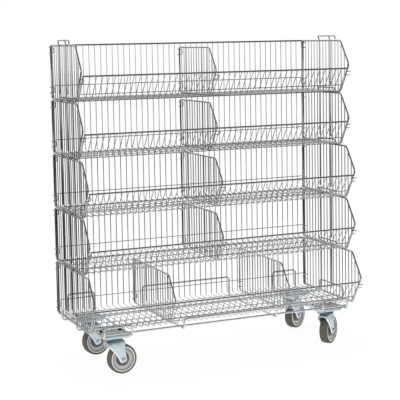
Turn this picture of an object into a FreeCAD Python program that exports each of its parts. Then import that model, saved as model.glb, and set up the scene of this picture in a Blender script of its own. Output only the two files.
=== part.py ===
import FreeCAD, Part
import math
import os
import re
import Sketcher

# Wheeled wire dump bin: five open-fronted wire baskets stacked on a chrome rod
# dolly with four swivel castors.  +Z is up, the back of the bin faces +Y, and
# the origin is on the floor below the middle of the whole bin.
Vector = FreeCAD.Vector
Rotation = FreeCAD.Rotation
Placement = FreeCAD.Placement

doc = FreeCAD.newDocument("wire_dump_bin")
sheet = doc.addObject("Spreadsheet::Sheet", "Sheet")

# Every driving size, in millimetres (turns in degrees, counts as numbers).
sizes = {
    # baskets
    "basket_width": 1000.0,        # between the centres of the two side panels
    "basket_height": 183.7,        # bottom rail centre to top rail centre
    "depth_top": 277.0,            # top rail of tiers 1 and 2
    "depth_middle": 315.0,         # top rail of tiers 3 and 4
    "depth_bottom": 353.0,         # top rail of tier 5
    "nose_reach": 58.0,            # front rim ahead of the top rail
    "rim_drop": 100.0,             # front rim below the top rail
    "nose_drop": 85.0,             # foremost corner of a side panel below the top rail
    "back_plane": 201.75,          # back wires behind the middle of the bin
    "stack_gap": 0.3,              # running gap between one basket and the next
    # wires
    "rail": 6.0,
    "frame_wire": 5.0,
    "light_wire": 3.0,
    "mesh_count": 44.0,            # bent wires across one basket
    "infill_step": 21.75,          # spacing of the upright wires of a panel
    "infill_count_top": 15.0,
    "infill_count_middle": 17.0,
    "infill_count_bottom": 19.0,
    "back_wire_rise": 44.2,        # level wire across the back above the bottom rail
    "lip_wire_rise": 25.7,         # level wire across the lip above the bottom rail
    # dividers
    "divider_shift": 17.0,         # divider of tiers 1 to 4 left of the middle
    "divider_spread": 214.5,       # tier 5 dividers either side of the middle
    "divider_drop": 15.0,          # divider top below the side panel's top rail
    "divider_nose_inset": 8.0,
    "seat_gap": 0.3,
    # hairpin clips
    "clip_wire": 3.0,
    "clip_pitch": 19.0,
    "clip_inboard": 10.0,
    "clip_outboard": 8.0,
    "clip_top_drop": 7.0,
    "clip_low_drop": 145.0,
    "clip_front_drop": 108.0,
    "clip_front_pitch": 16.0,
    # stacking hooks
    "hook_wire": 5.0,
    "hook_foot": 24.0,
    "hook_rise": 17.0,
    "hook_lean": 12.0,
    "hook_back_leg": 117.0,
    "hook_front_leg": 195.0,
    "hook_back_bar": 73.0,
    "hook_front_bar": 40.0,
    "hook_curl": 9.0,
    # dolly
    "rod": 7.0,
    "rod_bend": 9.0,
    "plate_top": 137.0,            # underside of the long rods
    "loop_inset": 89.0,            # middle of the castor loops inside the side panels
    "loop_width": 98.0,
    "middle_loop_width": 350.0,
    "back_hoop_gap": 0.5,
    "back_hoop_rise": 71.5,
    "front_hoop_rise": 34.0,
    "front_hoop_ahead": 27.0,      # front hoops ahead of the lowest basket's floor
    "side_hoop_gap": 7.5,
    "side_hoop_rise": 41.5,
    "cross_back": 95.0,
    "cross_front": 260.0,
    # castors
    "plate_width": 91.0,
    "plate_depth": 85.0,
    "plate_sheet": 2.5,
    "castor_plate_width": 92.0,
    "castor_plate_depth": 80.0,
    "castor_back": 57.0,           # swivel axes inside the back wires
    "castor_front": 62.0,          # swivel axes behind the front hoops
    "castor_inward": 5.0,          # swivel axes inside the middle of their loops
    "bolt_spread_x": 68.0,
    "bolt_spread_y": 66.0,
    "bolt_head": 4.0,
    "bolt_radius": 5.5,
    "race_radius": 30.0,
    "race_height": 13.0,
    "dish_radius": 24.0,
    "dish_height": 6.0,
    "king_radius": 6.0,
    "king_head": 9.5,
    "king_gap": 0.4,
    "wheel_radius": 50.0,
    "wheel_width": 31.0,
    "tyre_wall": 7.0,
    "tyre_gap": 0.05,
    "hub_inset": 1.0,
    "boss_radius": 12.0,
    "axle_radius": 4.0,
    "axle_gap": 0.25,
    "nut_radius": 7.0,
    "nut_height": 5.0,
    "fork_sheet": 2.5,
    "fork_gap": 1.5,
    "fork_top": 64.0,
    "fork_tip": 20.0,
    "fork_skirt": 12.0,
    "trail": 27.0,
    "turn_front_left": 4.0,
    "turn_front_right": 36.5,
    "turn_back_left": 9.0,
    "turn_back_right": 29.0,
}
for row, (name, value) in enumerate(sizes.items(), start=1):
    sheet.set("A%d" % row, str(value))
    sheet.setAlias("A%d" % row, name)
doc.recompute()


def number(text):
    """Value of a sum in sheet names: + - * / brackets, sqrt and atan."""
    words = re.findall(r"[a-z_][a-z_0-9]*|[0-9.]+|[-+*/()]", text)

    def factor():
        word = words.pop(0)
        if word == "-":
            return -factor()
        if word == "+":
            return factor()
        if word == "(" or word in ("sqrt", "atan"):
            if word != "(":
                words.pop(0)
            value = total()
            words.pop(0)
            if word == "sqrt":
                value = math.sqrt(value)
            if word == "atan":
                value = math.degrees(math.atan(value))
            return value
        return sizes[word] if word in sizes else float(word)

    def product():
        value = factor()
        while words and words[0] in "*/":
            if words.pop(0) == "*":
                value *= factor()
            else:
                value /= factor()
        return value

    def total():
        value = product()
        while words and words[0] in "+-":
            if words.pop(0) == "+":
                value += product()
            else:
                value -= product()
        return value

    return total()


def bind(thing, place, text):
    """Tie a property to a sum in sheet names."""
    thing.setExpression(place, re.sub(
        r"[a-z_][a-z_0-9]*",
        lambda name: ("Sheet." if name.group(0) in sizes else "") + name.group(0), text))


def new_body(label, several=False):
    body = doc.addObject("PartDesign::Body", label)
    body.Label = label
    body.AllowCompound = several
    return body


def origin_plane(body, role):
    return [f for f in body.Origin.OriginFeatures if f.Role == role][0]


def attach(body, feature, role, offset="0", shift=("0", "0"), tilt=None):
    """Lay a sketch or primitive on an origin plane, moved and tilted on it."""
    feature.AttachmentSupport = [(origin_plane(body, role), "")]
    feature.MapMode = "FlatFace"
    turn = Rotation(tilt[0], number(tilt[1])) if tilt else Rotation()
    feature.AttachmentOffset = Placement(
        Vector(number(shift[0]), number(shift[1]), number(offset)), turn)
    bind(feature, "AttachmentOffset.Base.x", shift[0])
    bind(feature, "AttachmentOffset.Base.y", shift[1])
    bind(feature, "AttachmentOffset.Base.z", offset)
    if tilt:
        bind(feature, "AttachmentOffset.Rotation.Angle", tilt[1])


def draw(body, name, role, loops, offset="0", closed=True, shift=("0", "0"), tilt=None):
    """Sketch of straight-sided loops.  Each corner is a pair of sheet sums."""
    sketch = body.newObject("Sketcher::SketchObject", name)
    attach(body, sketch, role, offset, shift, tilt)
    rules = []
    ties = []
    lines = 0
    for loop in loops:
        spots = [Vector(number(x), number(y), 0) for x, y in loop]
        count = len(loop) if closed else len(loop) - 1
        for i in range(count):
            sketch.addGeometry(Part.LineSegment(spots[i], spots[(i + 1) % len(loop)]))
            if i + 1 < count or closed:
                rules.append(Sketcher.Constraint(
                    "Coincident", lines + i, 2, lines + (i + 1) % count, 1))
        for i, (x, y) in enumerate(loop):
            line, end = (lines + i, 1) if i < count else (lines + count - 1, 2)
            for kind, text in (("DistanceX", x), ("DistanceY", y)):
                ties.append((len(rules), text))
                rules.append(Sketcher.Constraint(kind, -1, 1, line, end, number(text)))
        lines += count
    sketch.addConstraint(rules)
    for index, text in ties:
        bind(sketch, "Constraints[%d]" % index, text)
    return sketch


def pad(body, sketch, length, middle=False, back=False):
    """Straight extrusion of a sketch, from its plane or to both sides of it."""
    feature = body.newObject("PartDesign::Pad", sketch.Name + "_pad")
    feature.Profile = sketch
    feature.SideType = "Symmetric" if middle else "One side"
    feature.Reversed = back
    bind(feature, "Length", length)
    body.Tip = feature
    return feature


def box_loop(x, y, width, height):
    """Corners of a rectangle about (x, y)."""
    return [("%s - 0.5*%s" % (x, width), "%s - 0.5*%s" % (y, height)),
            ("%s + 0.5*%s" % (x, width), "%s - 0.5*%s" % (y, height)),
            ("%s + 0.5*%s" % (x, width), "%s + 0.5*%s" % (y, height)),
            ("%s - 0.5*%s" % (x, width), "%s + 0.5*%s" % (y, height))]


def wire(body, name, role, path, offset, size, sides=4, closed=False):
    """Bent wire: a flat-sided section swept along a mitred path.

    The path lies in a plane parallel to YZ (sketch axes Y, Z) or XZ (X, Z) and
    starts upright, so the section is drawn level across its first run.  Light
    wires that repeat by the hundred have three sides, with a flat one outside.
    """
    spine = draw(body, name + "_path", role, [path], offset, closed)
    if role == "YZ_Plane":
        x, y = offset, path[0][0]
    else:
        x, y = path[0][0], "-(%s)" % offset
    section = box_loop(x, y, size, size)
    if sides == 3:
        section = [("%s - 0.5*%s" % (x, size), "%s + 0.5*%s" % (y, size)),
                   (x, "%s - 0.5*%s" % (y, size)),
                   ("%s + 0.5*%s" % (x, size), "%s + 0.5*%s" % (y, size))]
    profile = draw(body, name + "_section", "XY_Plane", [section], path[0][1])
    pipe = body.newObject("PartDesign::AdditivePipe", name)
    pipe.Profile = profile
    pipe.Spine = spine
    pipe.Transition = "Right corner"
    body.Tip = pipe
    return pipe


def repeat(body, feature, sketch, axis, step, count, back=False):
    """Evenly spaced copies of a feature along an axis of a sketch."""
    rows = body.newObject("PartDesign::LinearPattern", feature.Name + "_row")
    rows.Originals = [feature]
    rows.Direction = (sketch, [axis])
    rows.Reversed = back
    rows.Mode = "Spacing"
    bind(rows, "Offset", step)
    bind(rows, "Occurrences", count)
    body.Tip = rows
    return rows


def prism(body, kind, name, role, offset, sides, radius, height, shift=("0", "0")):
    """Many-sided prism standing on a plane.  kind is Additive or Subtractive."""
    feature = body.newObject("PartDesign::%sPrism" % kind, name)
    attach(body, feature, role, offset, shift)
    feature.Polygon = sides
    bind(feature, "Circumradius", radius)
    bind(feature, "Height", height)
    body.Tip = feature
    return feature


def post(body, name, role, offset, radius, height, shift=("0", "0")):
    """Round post standing on a plane."""
    feature = body.newObject("PartDesign::AdditiveCylinder", name)
    attach(body, feature, role, offset, shift)
    bind(feature, "Radius", radius)
    bind(feature, "Height", height)
    body.Tip = feature
    return feature


def place(body, x, y, z, turn=None):
    body.Placement = Placement(Vector(number(x), number(y), number(z)),
                               Rotation(Vector(0, 0, 1), number(turn or "0")))
    bind(body, "Placement.Base.x", x)
    bind(body, "Placement.Base.y", y)
    bind(body, "Placement.Base.z", z)
    if turn:
        bind(body, "Placement.Rotation.Angle", turn)


# ---------------------------------------------------------------------------
# Baskets.  Each is drawn with its back wires on y = 0 and its underside on
# z = 0, then lifted to its level.
# ---------------------------------------------------------------------------
HALF = "0.5*basket_width"
TOP = "0.5*rail + basket_height"
RIM = TOP + " - rim_drop"
FLOOR = "rail - 0.5*light_wire"
MESH_END = "(0.5*basket_width - 0.5*rail - 0.5*frame_wire)"
MESH_STEP = "(basket_width - rail - 2*frame_wire) / (mesh_count + 1)"
CROSS_LENGTH = "basket_width - rail - 2*frame_wire"
# The lip rises this far while it reaches forward by nose_reach.
LIP_RISE = "(basket_height - rim_drop - 0.5*rail + 0.5*light_wire)"
LIP_LEAN = "atan(nose_reach / %s)" % LIP_RISE
LIP_LENGTH = "sqrt(nose_reach*nose_reach + %s*%s)" % (LIP_RISE, LIP_RISE)
# How much a step across the lip's slope is when measured level.
LIP_ACROSS = "%s / %s" % (LIP_LENGTH, LIP_RISE)
DECK = "plate_top + 2*rod + stack_gap"
levels = {tier: DECK + " + %d*(basket_height + rail + stack_gap)" % (5 - tier)
          for tier in (1, 2, 3, 4, 5)}
depths = {1: "depth_top", 2: "depth_top", 3: "depth_middle", 4: "depth_middle",
          5: "depth_bottom"}
infills = {1: "infill_count_top", 2: "infill_count_top", 3: "infill_count_middle",
           4: "infill_count_middle", 5: "infill_count_bottom"}
finished = []


def keep_in_basket(body, tier):
    place(body, "0", "back_plane", levels[tier])
    finished.append(body)


def wire_mesh(tier):
    """Back, floor and lip in one: wires bent twice, two end frames, two rims."""
    depth = depths[tier]
    body = new_body("tier_%d_wire_mesh" % tier, several=True)
    path = [("0", TOP + " - 0.5*rail"), ("0", FLOOR), ("-" + depth, FLOOR),
            ("-%s - nose_reach" % depth, RIM)]
    first = "-0.5*basket_width + 0.5*rail + frame_wire + " + MESH_STEP
    bent = wire(body, "bent_wire_%d" % tier, "YZ_Plane", path, first, "light_wire", 3)
    repeat(body, bent, bent.Spine[0], "N_Axis", MESH_STEP, "mesh_count")
    low = "rail - 0.5*frame_wire"
    frame = [("0", TOP), ("0", low), ("-" + depth, low), ("-%s - nose_reach" % depth, RIM)]
    wire(body, "left_end_%d" % tier, "YZ_Plane", frame, "-" + MESH_END, "frame_wire")
    wire(body, "right_end_%d" % tier, "YZ_Plane", frame, MESH_END, "frame_wire")
    rim = draw(body, "rim_ends_%d" % tier, "YZ_Plane",
               [box_loop("0", TOP, "rail", "rail"),
                box_loop("-%s - nose_reach" % depth, RIM, "rail", "rail")])
    pad(body, rim, "basket_width - rail", middle=True)
    keep_in_basket(body, tier)


def cross_wires(tier):
    """Straight level wires welded across the mesh: back, floor and lip."""
    depth = depths[tier]
    body = new_body("tier_%d_cross_wires" % tier, several=True)
    loops = [box_loop("-light_wire", "0.5*rail + back_wire_rise", "light_wire", "light_wire")]
    for share in ("0.125", "0.375", "0.625", "0.875"):
        loops.append(box_loop("-%s*%s" % (share, depth), "rail - 1.5*light_wire",
                              "light_wire", "light_wire"))
    sketch = draw(body, "cross_ends_%d" % tier, "YZ_Plane", loops)
    pad(body, sketch, CROSS_LENGTH, middle=True)
    # This one lies on the slope of the lip, outside the bent wires.
    spot = "(0.5*rail + lip_wire_rise - rail + 0.5*light_wire)"
    lip = draw(body, "lip_wire_end_%d" % tier, "YZ_Plane",
               [box_loop("-light_wire", "0", "light_wire", "light_wire")],
               shift=("-%s - nose_reach*%s / %s" % (depth, spot, LIP_RISE),
                      "0.5*rail + lip_wire_rise"),
               tilt=(Vector(0, 0, 1), LIP_LEAN))
    pad(body, lip, CROSS_LENGTH, middle=True)
    keep_in_basket(body, tier)


def panel(label, tier, offset, corners, size, first, count):
    """Flat wire panel: upright infill wires trimmed to the outline, in a frame."""
    body = new_body(label, several=True)
    outline = draw(body, label + "_outline", "YZ_Plane", [corners], offset)
    ends = [("%s - 0.5*light_wire" % offset, "%s - infill_step + 0.5*light_wire" % first),
            ("%s - 0.5*light_wire" % offset, "%s - infill_step - 0.5*light_wire" % first),
            ("%s + 0.5*light_wire" % offset, "%s - infill_step" % first)]
    section = draw(body, label + "_infill", "XY_Plane", [ends], corners[0][1])
    upright = pad(body, section, "%s - (%s)" % (corners[1][1], corners[0][1]))
    repeat(body, upright, section, "V_Axis", "infill_step", count, back=True)
    # Everything outside the middle line of the frame is cut away.
    wide = [("%s + rail" % corners[0][0], "%s - rail" % corners[0][1]),
            ("%s + rail" % corners[1][0], "%s + rail" % corners[1][1]),
            ("%s - 2*rail" % corners[3][0], "%s + rail" % corners[1][1]),
            ("%s - 2*rail" % corners[3][0], "%s - rail" % corners[0][1])]
    outside = draw(body, label + "_outside", "YZ_Plane", [wide, corners], offset)
    trim = body.newObject("PartDesign::Pocket", label + "_trim")
    trim.Profile = outside
    trim.SideType = "Symmetric"
    bind(trim, "Length", "2*rail")
    body.Tip = trim
    # The frame starts and ends half way up its back rail.
    middle = (corners[0][0], "0.5*(%s + %s)" % (corners[0][1], corners[1][1]))
    ring = [middle, corners[0], corners[4], corners[3], corners[2], corners[1]]
    wire(body, label + "_frame", "YZ_Plane", ring, offset, size, closed=True)
    keep_in_basket(body, tier)
    return outline


def side_panel(tier, side, sign):
    depth = depths[tier]
    corners = [("0", "0.5*rail"), ("0", TOP), ("-" + depth, TOP),
               ("-%s - nose_reach" % depth, TOP + " - nose_drop"), ("-" + depth, "0.5*rail")]
    panel("tier_%d_%s_side_panel" % (tier, side), tier, sign + "0.5*basket_width",
          corners, "rail", "0", infills[tier])


def divider(label, tier, offset):
    """Loose panel between two compartments, standing on the floor wires."""
    depth = depths[tier]
    back = "-1.5*light_wire - 0.5*frame_wire"
    low = "rail + 0.5*frame_wire"
    # Level distance that keeps the sloping front rail just inside the lip.
    clear = "(0.5*light_wire + 0.5*frame_wire + seat_gap) * " + LIP_ACROSS
    heel = "nose_reach * (0.5*light_wire + 0.5*frame_wire) / %s" % LIP_RISE
    corners = [(back, low), (back, TOP + " - divider_drop"),
               ("-%s + divider_nose_inset" % depth, TOP + " - divider_drop"),
               ("-%s - nose_reach + divider_nose_inset" % depth, RIM + " + divider_nose_inset"),
               ("-%s - %s + %s" % (depth, heel, clear), low)]
    panel(label, tier, offset, corners, "frame_wire", back, infills[tier] + " - 1")


def hairpin(x_bend, x_ends, z, pitch, way):
    """Outline of a clip bent like a hairpin: two level prongs joined at x_bend."""
    inner = "%s %s clip_wire" % (x_bend, way)
    return [(x_ends, "%s + 0.5*clip_wire" % z), (x_bend, "%s + 0.5*clip_wire" % z),
            (x_bend, "%s - %s - 0.5*clip_wire" % (z, pitch)),
            (x_ends, "%s - %s - 0.5*clip_wire" % (z, pitch)),
            (x_ends, "%s - %s + 0.5*clip_wire" % (z, pitch)),
            (inner, "%s - %s + 0.5*clip_wire" % (z, pitch)),
            (inner, "%s - 0.5*clip_wire" % z), (x_ends, "%s - 0.5*clip_wire" % z)]


def corner_clips(tier, dividers):
    """Hairpin clips that tie the panels to the mesh at its back and front."""
    depth = depths[tier]
    body = new_body("tier_%d_corner_clips" % tier, several=True)
    bend = HALF + " - clip_inboard"
    ends = HALF + " + clip_outboard"
    back = []
    for drop in ("clip_top_drop", "clip_low_drop"):
        back.append(hairpin(bend, ends, "%s - %s" % (TOP, drop), "clip_pitch", "+"))
        back.append(hairpin("-(%s)" % bend, "-(%s)" % ends, "%s - %s" % (TOP, drop),
                            "clip_pitch", "-"))
    # Back clips lie against the inner side of the panels' back rails.
    sketch = draw(body, "back_clips_%d" % tier, "XZ_Plane", back, "0.5*rail")
    pad(body, sketch, "clip_wire")
    inner = []
    for middle in dividers:
        for drop in ("divider_drop - clip_top_drop", "clip_low_drop"):
            inner.append(hairpin("%s + clip_inboard" % middle, "%s - clip_outboard" % middle,
                                 "%s - %s" % (TOP, drop), "clip_pitch", "-"))
    sketch = draw(body, "divider_clips_%d" % tier, "XZ_Plane", inner,
                  "1.5*light_wire + frame_wire")
    pad(body, sketch, "clip_wire")
    # Front clips lie on the slope of the lip, on its outside.
    top = "%s - (clip_front_drop - rim_drop) * %s" % (LIP_LENGTH, LIP_ACROSS)
    slopes = [("front_clips_%d" % tier, "(0.5*frame_wire + seat_gap)",
               [hairpin(bend, ends, top, "clip_front_pitch", "+"),
                hairpin("-(%s)" % bend, "-(%s)" % ends, top, "clip_front_pitch", "-")]),
              ("front_divider_clips_%d" % tier, "0.5*light_wire",
               [hairpin("%s + clip_inboard" % middle, "%s - clip_outboard" % middle, top,
                        "clip_front_pitch", "-") for middle in dividers])]
    for name, thickness, loops in slopes:
        sketch = draw(body, name, "XZ_Plane", loops,
                      "%s + %s * %s" % (depth, thickness, LIP_ACROSS),
                      shift=("0", FLOOR), tilt=(Vector(1, 0, 0), LIP_LEAN))
        pad(body, sketch, "clip_wire")
    keep_in_basket(body, tier)


def stacking_hooks(tier):
    """Two bent wires on each side panel that guide the basket above."""
    body = new_body("tier_%d_stacking_hooks" % tier, several=True)
    peak = TOP + " + hook_rise"
    for side, sign in (("left", "-"), ("right", "")):
        offset = "%s(0.5*basket_width + 0.5*rail + seat_gap + 0.5*hook_wire)" % sign
        bar = "-hook_back_leg + hook_lean"
        wire(body, "%s_back_hook_%d" % (side, tier), "YZ_Plane",
             [("-hook_back_leg", "hook_foot"), ("-hook_back_leg", TOP), (bar, peak),
              (bar + " - hook_back_bar", peak)], offset, "hook_wire")
        bar = "-hook_front_leg + hook_lean"
        tip = bar + " - hook_front_bar"
        wire(body, "%s_front_hook_%d" % (side, tier), "YZ_Plane",
             [("-hook_front_leg", "hook_foot"), ("-hook_front_leg", TOP), (bar, peak),
              (tip, peak), (tip + " - 0.9*hook_curl", peak + " - 0.55*hook_curl"),
              (tip + " - 0.65*hook_curl", peak + " - 1.2*hook_curl")], offset, "hook_wire")
    keep_in_basket(body, tier)


for tier in (1, 2, 3, 4, 5):
    wire_mesh(tier)
    cross_wires(tier)
    side_panel(tier, "left", "-")
    side_panel(tier, "right", "")
    if tier < 5:
        divider("tier_%d_divider" % tier, tier, "-divider_shift")
        corner_clips(tier, ["-divider_shift"])
    else:
        divider("tier_5_left_divider", 5, "-divider_spread")
        divider("tier_5_right_divider", 5, "divider_spread")
        corner_clips(5, ["-divider_spread", "divider_spread"])
    stacking_hooks(tier)

# ---------------------------------------------------------------------------
# Dolly: three closed loops of rod run front to back, a fourth lies across
# them, and both ends of each loop stand up as hoops that locate the basket.
# ---------------------------------------------------------------------------
ROD = "plate_top + 0.5*rod"
CROSS = "plate_top + 1.5*rod"
BACK_HOOP = "back_plane + 0.5*rail + back_hoop_gap + 0.5*rod"
FRONT_HOOP = "back_plane - depth_bottom - front_hoop_ahead"
LOOP = "(0.5*basket_width - loop_inset)"


def long_loop(label, middle, width):
    body = new_body(label, several=True)
    run_up = ROD + " + 2*rod_bend"
    side = [(BACK_HOOP, run_up), (BACK_HOOP, ROD + " + rod_bend"),
            (BACK_HOOP + " - rod_bend", ROD), (FRONT_HOOP + " + rod_bend", ROD),
            (FRONT_HOOP, ROD + " + rod_bend"), (FRONT_HOOP, run_up)]
    left = "%s - 0.5*%s" % (middle, width)
    right = "%s + 0.5*%s" % (middle, width)
    wire(body, label + "_left_rod", "YZ_Plane", side, left, "rod")
    wire(body, label + "_right_rod", "YZ_Plane", side, right, "rod")
    for end, where, rise in (("back", BACK_HOOP, "back_hoop_rise"),
                             ("front", FRONT_HOOP, "front_hoop_rise")):
        peak = "%s + %s" % (ROD, rise)
        hoop = [(left, run_up), (left, peak + " - rod_bend"), (left + " + rod_bend", peak),
                (right + " - rod_bend", peak), (right, peak + " - rod_bend"), (right, run_up)]
        wire(body, "%s_%s_hoop" % (label, end), "XZ_Plane", hoop, "-(%s)" % where, "rod")
    finished.append(body)


def cross_loop():
    body = new_body("dolly_cross_loop", several=True)
    run_up = CROSS + " + 2*rod_bend"
    far = "(0.5*basket_width + 0.5*rail + side_hoop_gap + 0.5*rod)"
    peak = CROSS + " + side_hoop_rise"
    front = "back_plane - cross_front"
    back = "back_plane - cross_back"
    for end, where in (("back", back), ("front", front)):
        across = [("-" + far, run_up), ("-" + far, CROSS + " + rod_bend"),
                  ("-%s + rod_bend" % far, CROSS), (far + " - rod_bend", CROSS),
                  (far, CROSS + " + rod_bend"), (far, run_up)]
        wire(body, end + "_cross_rod", "XZ_Plane", across, "-(%s)" % where, "rod")
    hoop = [(front, run_up), (front, peak + " - rod_bend"), (front + " + rod_bend", peak),
            (back + " - rod_bend", peak), (back, peak + " - rod_bend"), (back, run_up)]
    wire(body, "left_side_hoop", "YZ_Plane", hoop, "-" + far, "rod")
    wire(body, "right_side_hoop", "YZ_Plane", hoop, far, "rod")
    finished.append(body)


long_loop("dolly_left_long_loop", "-" + LOOP, "loop_width")
long_loop("dolly_middle_long_loop", "0", "middle_loop_width")
long_loop("dolly_right_long_loop", LOOP, "loop_width")
cross_loop()

body = new_body("dolly_front_rod")
sketch = draw(body, "front_rod_end", "YZ_Plane",
              [box_loop(FRONT_HOOP + " + rod_bend + rod", CROSS, "rod", "rod")])
pad(body, sketch, "2*%s + loop_width + rod" % LOOP, middle=True)
finished.append(body)

# ---------------------------------------------------------------------------
# Castors.  A welded plate between two rods carries each bolted castor plate.
# ---------------------------------------------------------------------------
SWIVEL = "(0.5*basket_width - loop_inset - castor_inward)"
FRONT_SWIVEL = "(%s + castor_front)" % FRONT_HOOP
BACK_SWIVEL = "(back_plane - castor_back)"
corners = {
    "front_left": ("-" + SWIVEL, FRONT_SWIVEL, "turn_front_left"),
    "front_right": (SWIVEL, FRONT_SWIVEL, "turn_front_right"),
    "back_left": ("-" + SWIVEL, BACK_SWIVEL, "turn_back_left"),
    "back_right": (SWIVEL, BACK_SWIVEL, "turn_back_right"),
}
CASTOR_PLATE = "plate_top - plate_sheet"
RACE = CASTOR_PLATE + " - dish_height"
CROWN = RACE + " - race_height - king_gap - fork_sheet"

mounting = new_body("castor_mounting_plates", several=True)
sketch = draw(mounting, "mounting_plate_outlines", "XY_Plane",
              [box_loop(("-" if x[0] == "-" else "") + LOOP, y, "plate_width", "plate_depth")
               for x, y, turn in corners.values()], "plate_top")
pad(mounting, sketch, "plate_sheet")
finished.append(mounting)

plates = new_body("castor_top_plates", several=True)
sketch = draw(plates, "castor_plate_outlines", "XY_Plane",
              [box_loop(x, y, "castor_plate_width", "castor_plate_depth")
               for x, y, turn in corners.values()], CASTOR_PLATE)
pad(plates, sketch, "plate_sheet")
for corner, (x, y, turn) in corners.items():
    prism(plates, "Additive", corner + "_dish", "XY_Plane", RACE, 12, "dish_radius",
          "dish_height", (x, y))
    prism(plates, "Additive", corner + "_race", "XY_Plane", RACE + " - race_height", 12,
          "race_radius", "race_height", (x, y))
    post(plates, corner + "_king_pin", "XY_Plane", CROWN + " - king_gap - fork_sheet",
         "king_radius", "dish_height + race_height + 2*king_gap + 2*fork_sheet", (x, y))
    prism(plates, "Additive", corner + "_king_head", "XY_Plane", CROWN + " - king_gap - fork_sheet",
          8, "king_head", "fork_sheet", (x, y))
finished.append(plates)

bolts = new_body("castor_plate_bolts", several=True)
for corner, (x, y, turn) in corners.items():
    for i, (across, along) in enumerate((("-", "-"), ("-", "+"), ("+", "-"), ("+", "+"))):
        spot = ("%s %s 0.5*bolt_spread_x" % (x, across), "%s %s 0.5*bolt_spread_y" % (y, along))
        prism(bolts, "Additive", "%s_bolt_head_%d" % (corner, i), "XY_Plane",
              "plate_top + plate_sheet", 6, "bolt_radius", "bolt_head", spot)
finished.append(bolts)


def castor(corner, x, y, turn):
    """Fork, axle, tyre and hub, drawn about the swivel axis with the wheel at +X."""
    leg = "(0.5*wheel_width + fork_gap + fork_sheet)"
    middle = "0.1*trail"
    fork = new_body(corner + "_fork", several=True)
    crown = draw(fork, corner + "_crown", "XY_Plane",
                 [box_loop(middle, "0", "fork_top", "2*" + leg)], CROWN)
    pad(fork, crown, "fork_sheet")
    skirt = CROWN + " - fork_skirt"
    side = [(middle + " - 0.5*fork_top", CROWN + " + fork_sheet"),
            (middle + " - 0.5*fork_top", skirt),
            ("trail - 0.5*fork_tip", "wheel_radius"),
            ("trail - 0.3*fork_tip", "wheel_radius - 0.5*fork_tip"),
            ("trail + 0.3*fork_tip", "wheel_radius - 0.5*fork_tip"),
            ("trail + 0.5*fork_tip", "wheel_radius"),
            (middle + " + 0.5*fork_top", skirt),
            (middle + " + 0.5*fork_top", CROWN + " + fork_sheet")]
    for name, start in (("_near_leg", leg + " - fork_sheet"), ("_far_leg", "-" + leg)):
        sketch = draw(fork, corner + name, "XZ_Plane", [side], start)
        pad(fork, sketch, "fork_sheet")
    prism(fork, "Subtractive", corner + "_king_hole", "XY_Plane", CROWN, 12,
          "king_radius + 2*king_gap", "fork_sheet")
    prism(fork, "Subtractive", corner + "_axle_holes", "XZ_Plane", "-" + leg, 12,
          "axle_radius + axle_gap", "2*" + leg, ("trail", "wheel_radius"))
    axle = new_body(corner + "_axle")
    hub_at = ("trail", "wheel_radius")
    post(axle, corner + "_pin", "XZ_Plane", "-" + leg, "axle_radius", "2*" + leg, hub_at)
    prism(axle, "Additive", corner + "_head", "XZ_Plane", "-%s - nut_height" % leg, 6,
          "nut_radius", "nut_height", hub_at)
    prism(axle, "Additive", corner + "_nut", "XZ_Plane", leg, 6, "nut_radius", "nut_height",
          hub_at)
    tyre = new_body(corner + "_tyre")
    prism(tyre, "Additive", corner + "_tread", "XZ_Plane", "-0.5*wheel_width", 36,
          "wheel_radius", "wheel_width", hub_at)
    prism(tyre, "Subtractive", corner + "_rim_seat", "XZ_Plane", "-0.5*wheel_width", 18,
          "wheel_radius - tyre_wall + tyre_gap", "wheel_width", hub_at)
    hub = new_body(corner + "_hub")
    prism(hub, "Additive", corner + "_rim", "XZ_Plane", "-0.5*wheel_width + hub_inset", 18,
          "wheel_radius - tyre_wall", "wheel_width - 2*hub_inset", hub_at)
    prism(hub, "Additive", corner + "_boss", "XZ_Plane", "-%s + fork_sheet + seat_gap" % leg, 12,
          "boss_radius", "2*(%s - fork_sheet - seat_gap)" % leg, hub_at)
    prism(hub, "Subtractive", corner + "_bore", "XZ_Plane", "-%s + fork_sheet" % leg, 12,
          "axle_radius + 2*axle_gap", "2*(%s - fork_sheet)" % leg, hub_at)
    for body in (fork, axle, tyre, hub):
        place(body, x, y, "0", turn)
        finished.append(body)


for corner, (x, y, turn) in corners.items():
    castor(corner, x, y, turn)

doc.recompute()
for thing in doc.Objects:
    if "Invalid" in thing.State or "Error" in thing.State:
        raise RuntimeError("%s failed: %s" % (thing.Name, thing.State))
for body in finished:
    if body.Shape.isNull() or not body.Shape.isValid():
        raise RuntimeError("%s has no sound shape" % body.Label)
os.makedirs("parts", exist_ok=True)
for body in finished:
    body.Shape.exportStep("parts/%s.step" % body.Label)
print("%d pieces written" % len(finished))
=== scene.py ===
# %% [markdown]
# # A wire dump bin on a chrome dolly
# Five open-fronted wire baskets stand on each other, and the lowest one stands
# on a dolly of bent chrome rod with four swivel castors.  Nearly everything on
# it is wire that was bent in a jig and welded, so this lesson is mostly about
# bending wire: a line is drawn point by point, its corners are rounded, and
# then it gets its thickness.  All sizes are written in millimetres.

import math

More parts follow.
